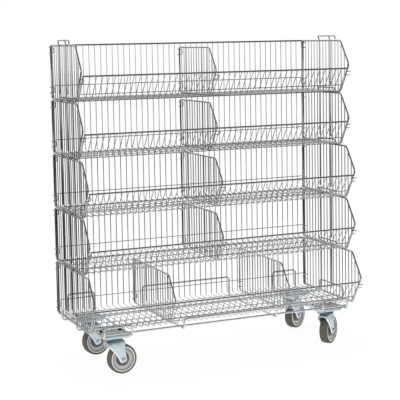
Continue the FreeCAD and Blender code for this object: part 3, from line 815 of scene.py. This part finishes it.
# %% [markdown]
# ## The fork's bead, hood and lip
# A bead is pressed out along each leg to stiffen it, the crown's leading edge
# droops like a hood over the wheel, and the whole leading edge is turned in as
# a lip.  All three find their edges by place: how far across the leg a point
# lies tells lead from trail on a leg that gets narrower as it goes down.

# %% Bead, hood and lip
BEAD, BEAD_DEPTH = (0.45, 0.8), 1.8             # share of the leg's width; push
BEAD_HEIGHTS = (55, 100)
HOOD = [(-28, -24, 6.5), (-21, -17, 2.4), (-13, -10, 0.6)]      # from x, to x, drop
LIP_STEPS = [((-1.6, 0, -1.2), 0.95), ((-1.0, 0, -1.3), 0.89)]  # move, squeeze


def column(point):
    """How far across the leg a point lies, from 0 at the lead to 1 at the trail."""
    bend_foot = (CROWN_TOP - PRESS_BEND, CROWN_LEAD + 1.5, CROWN_TRAIL)
    line = [(CROWN_TOP, CROWN_LEAD, CROWN_TRAIL), bend_foot] + FORK_STEPS
    for high, low in zip(line, line[1:]):
        if point.z >= low[0]:
            break
    share = max(0.0, (point.z - low[0]) / (high[0] - low[0]))
    lead, trail = (b + (a - b) * share for a, b in zip(high[1:], low[1:]))
    return (point.x - lead) / (trail - lead)


def press_beads(fork):
    """Pushes the middle of each leg out by the depth of its bead."""
    for side in (-1, 1):
        select_edges(fork, lambda edge, a, b: all(
            abs(p.y - side * LEG_OUT) < SAME and BEAD_HEIGHTS[0] < p.z < BEAD_HEIGHTS[1]
            for p in (a, b)) and
            abs(a.z - b.z) > 1 and BEAD[0] < column(a) < BEAD[1])
        bpy.ops.transform.translate(value=(0, side * BEAD_DEPTH * mm, 0))


def droop_crown(fork):
    """Draws the crown's leading edge down like a hood."""
    for nearest, furthest, drop in HOOD:
        select_edges(fork, lambda edge, a, b: all(
            nearest < p.x < furthest and p.z > 104 for p in (a, b)))
        bpy.ops.transform.translate(value=(0, 0, -drop * mm))


def turn_lip(fork):
    """Turns the leading edge in, in two small steps."""
    def leading(edge, a, b):
        """On the crown's front, round the foot, or down the lead of a leg."""
        middle = 0.5 * (a + b)
        return edge.is_boundary and (middle.x < -19 if middle.z > 95 else
                                     middle.z < 42 or column(middle) < 0.15)
    select_edges(fork, leading)
    for step, squeeze in LIP_STEPS:
        bpy.ops.mesh.extrude_region_move(
            TRANSFORM_OT_translate={"value": [v * mm for v in step]})
        bpy.ops.transform.resize(value=(1, squeeze, 1), center_override=(0, 0, 0))


# %% Press one fork
CROWN_CUTS = 7


def press_fork():
    length = CROWN_TRAIL - CROWN_LEAD
    middle = 0.5 * (CROWN_LEAD + CROWN_TRAIL)
    select_only()
    bpy.ops.mesh.primitive_plane_add(size=1, location=(middle * mm, 0, CROWN_TOP * mm))
    fork = bpy.context.object
    fork.scale = (length * mm, 2 * (LEG_OUT - PRESS_BEND) * mm, 1)
    bpy.ops.object.transform_apply(location=True, rotation=True, scale=True)
    bpy.ops.object.mode_set(mode="EDIT")
    select_edges(fork, lambda edge, a, b: abs(a.y - b.y) < SAME)
    bpy.ops.mesh.subdivide(number_cuts=CROWN_CUTS)
    press_legs(fork)
    press_beads(fork)
    droop_crown(fork)
    turn_lip(fork)
    bpy.ops.mesh.select_all(action="SELECT")
    bpy.ops.mesh.normals_make_consistent(inside=False)
    bpy.ops.object.mode_set(mode="OBJECT")
    return fork


fork = press_fork()
print("fork outline vertices:", len(fork.data.vertices))

# %% [markdown]
# ## From outline to sheet
# Solidify gives the outline the thickness of its sheet, inwards from the outer face, and a
# bevel takes off the sharp edges.  The lip, found again by its place, is then painted
# nearly white as a painted highlight.

# %% Thicken the fork and soften its edges
def on_lip(point):
    """Whether a point lies on the turned lip, beyond the sheet's leading edge."""
    return point.x < CROWN_LEAD - 0.3 if point.z > 100 else column(point) < -0.01


apply_modifier(fork, "SOLIDIFY", thickness=SHEET * mm, offset=-1.0,
               use_even_offset=True)
soften_edges(fork, 0.5)
tidy_mesh(fork, 35)
# The lip's faces get the second finish, a painted highlight that is nearly white.
paint(fork, blue_zinc, lip_painted_highlight)
for face in fork.data.polygons:
    face.material_index = 1 if on_lip(face.center / mm) else 0
print("fork finished, vertices:", len(fork.data.vertices))

# %% [markdown]
# ## Wheel and axle
# The tyre is moulded round a plastic hub.  Its tread is nearly flat with round shoulders.
# The hub's face steps in and out in rings, painted with a highlight on its outer band and
# with shade on its step and its boss, and the boss in the middle keeps it clear of the
# fork.

# %% Turn the wheel
WHEEL_AT = (27.0, 0.0, 50.0)
TYRE = [(43.05, -14.4), (43.8, -15.2), (46.4, -15.5), (48.6, -14.2), (49.6, -11.5),
        (50.0, -7.5), (50.0, 7.5), (49.6, 11.5), (48.6, 14.2), (46.4, 15.5),
        (43.8, 15.2), (43.05, 14.4)]
HUB_HALF = [(4.5, 16.6), (11.0, 16.6), (12.0, 15.9), (13.0, 11.5), (21.0, 11.0),
            (23.0, 10.2), (24.0, 7.6), (25.5, 7.0), (31.5, 8.0), (33.5, 9.6),
            (34.0, 12.2), (38.2, 12.6), (38.8, 14.4), (42.2, 14.6), (43.0, 14.0)]
HUB = HUB_HALF + [(radius, -height) for radius, height in reversed(HUB_HALF)]
RINGS = [(38.5, 0), (33.8, 1), (24.3, 2), (0.0, 3)]     # inner radius, finish
WHEEL_STEPS = 72

tyre = turn_profile("tyre_model", TYRE, WHEEL_AT, "Y", WHEEL_STEPS)
paint(tyre, grey_rubber)
hub = turn_profile("hub_model", HUB, WHEEL_AT, "Y", WHEEL_STEPS)
# The hub is one grey plastic: its pale rim is a painted highlight, and its step and boss
# are painted shade.
paint(hub, hub_rim_painted_highlight, hub_step_painted_shade, light_hub, hub_boss_painted_shade)
for face in hub.data.polygons:
    away = math.hypot(face.center.x / mm - WHEEL_AT[0], face.center.z / mm - WHEEL_AT[2])
    face.material_index = next(finish for inner, finish in RINGS if away >= inner)
print("wheel faces:", len(tyre.data.polygons) + len(hub.data.polygons))

# %% Axle bolt and nut
AXLE_FACES = (19.6, 24.4)           # inner and outer face of its head and nut
AXLE_RADIUS = 7.0                   # of its head and nut
PIN = [(0, -24.5), (3.4, -24.5), (4.0, -23.9), (4.0, 23.9), (3.4, 24.5), (0, 24.5)]
UPRIGHT_TO_LEVEL = (90, 0, 0)       # turns a Z axis to lie along Y

inner, outer = AXLE_FACES
head = settle(hexagon("axle_head", AXLE_RADIUS, inner, outer), WHEEL_AT,
              UPRIGHT_TO_LEVEL)
nut = settle(hexagon("axle_nut", AXLE_RADIUS, -outer, -inner), WHEEL_AT,
             UPRIGHT_TO_LEVEL)
pin = turn_profile("axle_pin", PIN, WHEEL_AT, "Y", 24, closed=False)
axle = weld("axle_model", head, nut, pin)
paint(axle, zinc_wire)
print("axle faces:", len(axle.data.polygons))

# %% [markdown]
# ## Four castors
# One castor is modelled with its swivel axis on the Z axis, so a copy can be
# turned about that axis first and then moved to its corner.  Each stands at
# its own angle, as castors do once the dolly has been rolled.  Fork and axle
# ride on the body that swivels, tyre and hub on the one that spins inside it.

# %% Four castors
TURNS = {"front_left": 4.0, "front_right": 36.5, "back_left": 9.0, "back_right": 29.0}

for corner, (x, y) in SWIVELS.items():
    swivel, wheel = corner + "_swivel", corner + "_wheel"
    place = (x, y, 0), TURNS[corner]
    copy_to(fork, corner + "_fork_pressed", swivel, corner + "_fork",
            "castor_steel", *place)
    copy_to(axle, corner + "_axle_bolt", swivel, corner + "_axle",
            "castor_steel", *place)
    copy_to(tyre, corner + "_tyre_moulded", wheel, corner + "_tyre",
            "tyre_rubber", *place)
    copy_to(hub, corner + "_hub_moulded", wheel, corner + "_hub",
            "hub_plastic", *place)
put_away(fork, axle, tyre, hub)
print("castors:", list(SWIVELS))

# %% [markdown]
# ## The room
# The bin stands in a white room.  The world shows three faces: the camera sees
# plain white, rough surfaces get soft white light from all round, and the
# metals mirror a room with white walls and a dark ceiling.  A mirror needs
# something dark to show, or bright wire would vanish against white.

# %% White room
world = bpy.data.worlds.new("white_room")
bpy.context.scene.world = world
world.use_nodes = True
room = world.node_tree.nodes["Background"]
room.inputs["Color"].default_value = (1, 1, 1, 1)
room.inputs["Strength"].default_value = 0.5     # the lamps give the rest

where = add_node(world, "ShaderNodeTexCoord")
axes = add_node(world, "ShaderNodeSeparateXYZ", links={0: where.outputs["Generated"]})
# The walls are a little greyer in front of the bin than behind and beside it.
walls = add_node(world, "ShaderNodeMapRange",
                 {"From Min": -0.95, "From Max": -0.5, "To Min": 0.8, "To Max": 1.0},
                 {"Value": axes.outputs["Y"]})
# The ceiling leans down towards the front, so the front wall is the lowest.
height = add_node(world, "ShaderNodeVectorMath",
                  {"operation": "DOT_PRODUCT", 1: (0, -0.5, 1)},
                  {0: where.outputs["Generated"]})
ceiling = add_node(world, "ShaderNodeMapRange",
                   {"From Min": 0.45, "From Max": 0.75, "To Min": 1.0, "To Max": 0.05},
                   {"Value": height.outputs["Value"]})
shade = add_node(world, "ShaderNodeMath", {"operation": "MULTIPLY"},
                 {0: walls.outputs["Result"], 1: ceiling.outputs["Result"]})
mirrored = add_node(world, "ShaderNodeBackground", {"Strength": 1.0},
                    {"Color": shade.outputs[0]})
seen = add_node(world, "ShaderNodeBackground",
                {"Color": (1, 1, 1, 1), "Strength": 1.0})
rays = add_node(world, "ShaderNodeLightPath")
gloss_or_room = add_node(world, "ShaderNodeMixShader",
                         links={"Fac": rays.outputs["Is Glossy Ray"],
                                1: room.outputs[0], 2: mirrored.outputs[0]})
backdrop = add_node(world, "ShaderNodeMixShader",
                    links={"Fac": rays.outputs["Is Camera Ray"],
                           1: gloss_or_room.outputs[0], 2: seen.outputs[0]})
world.node_tree.links.new(backdrop.outputs[0],
                          world.node_tree.nodes["World Output"].inputs["Surface"])
print("world nodes:", len(world.node_tree.nodes))

# %% [markdown]
# ## The floor
# The floor is nearly white too.  Plain white is mixed into what the camera
# sees of it, so only a faint shadow is left under the bin, and none further
# out.  The metals mirror a floor that is white near the bin and darkens away
# from it.

# %% White floor
select_only()
bpy.ops.mesh.primitive_plane_add(size=60, location=(0, 0, 0))
floor = bpy.context.object
floor.name = "studio_floor"
floor_finish = new_finish("white_floor", "F4F4F4", 0.0, 0.9)
glow = add_node(floor_finish, "ShaderNodeEmission",
                {"Color": (1, 1, 1, 1), "Strength": 1.0})
rays = add_node(floor_finish, "ShaderNodeLightPath")
where = add_node(floor_finish, "ShaderNodeTexCoord")
away = add_node(floor_finish, "ShaderNodeVectorMath", {"operation": "LENGTH"},
                {0: where.outputs["Object"]})
# Distances from the bin are in metres here.
white = add_node(floor_finish, "ShaderNodeMapRange",
                 {"From Min": 0.6, "From Max": 1.5, "To Min": 0.95, "To Max": 1.0},
                 {"Value": away.outputs["Value"]})
share = add_node(floor_finish, "ShaderNodeMath", {"operation": "MULTIPLY"},
                 {0: rays.outputs["Is Camera Ray"], 1: white.outputs["Result"]})
seen = add_node(floor_finish, "ShaderNodeMixShader",
                links={"Fac": share.outputs[0],
                       1: shader_of(floor_finish).outputs["BSDF"],
                       2: glow.outputs[0]})
dusk = add_node(floor_finish, "ShaderNodeMapRange",
                {"From Min": 0.6, "From Max": 1.4, "To Min": 1.0, "To Max": 0.06},
                {"Value": away.outputs["Value"]})
mirrored = add_node(floor_finish, "ShaderNodeEmission", {"Strength": 1.0},
                    {"Color": dusk.outputs["Result"]})
mix = add_node(floor_finish, "ShaderNodeMixShader",
               links={"Fac": rays.outputs["Is Glossy Ray"],
                      1: seen.outputs[0], 2: mirrored.outputs[0]})
floor_finish.node_tree.links.new(
    mix.outputs[0], floor_finish.node_tree.nodes["Material Output"].inputs["Surface"])
floor.data.materials.append(floor_finish)
print("floor nodes:", len(floor_finish.node_tree.nodes))

# %% [markdown]
# ## Lamps
# Three large lamps give the soft light: a key from the front left, a weaker
# fill from the front right and one from above.  They are hidden from the
# metals, which would otherwise show them as white streaks along every wire.

# %% Lamps
LAMP_SIZE, AIM = 2.4, (0, 0, 0.5)   # metres


def soft_lamp(name, place, power):
    """A large square lamp that points at the middle of the bin."""
    bpy.ops.object.light_add(type="AREA", location=place)
    lamp = bpy.context.object
    lamp.name = name
    lamp.data.size = LAMP_SIZE
    lamp.data.energy = power
    lamp.visible_glossy = False
    towards = [a - b for a, b in zip(AIM, place)]
    level = math.hypot(towards[0], towards[1])
    lamp.rotation_euler = (math.atan2(level, -towards[2]), 0,
                           math.atan2(towards[1], towards[0]) - math.pi / 2)


soft_lamp("key_lamp", (-2.6, -3.4, 3.4), 105)
soft_lamp("fill_lamp", (3.4, -2.4, 2.2), 40)
soft_lamp("top_lamp", (0, 1.0, 4.0), 120)

# %% [markdown]
# ## Camera
# A long lens from the front left, at the height of the top basket, looking
# slightly down.  The lens is shifted, as an architect's camera is, which keeps
# the uprights nearly parallel.

# %% Camera
CAMERA_AT = (-1.6788, -3.7213, 1.1177)          # metres
CAMERA_TURN = (84.7104, 0.9889, -24.0242)       # degrees

camera_data = bpy.data.cameras.new("camera")
camera = bpy.data.objects.new("camera", camera_data)
bpy.context.scene.collection.objects.link(camera)
camera.location = CAMERA_AT
camera.rotation_euler = [math.radians(angle) for angle in CAMERA_TURN]
camera_data.sensor_width = 36.0
camera_data.lens = 104.76
camera_data.shift_y = -0.1375
camera_data.clip_end = 200
bpy.context.scene.camera = camera
bpy.context.scene.view_settings.view_transform = "Standard"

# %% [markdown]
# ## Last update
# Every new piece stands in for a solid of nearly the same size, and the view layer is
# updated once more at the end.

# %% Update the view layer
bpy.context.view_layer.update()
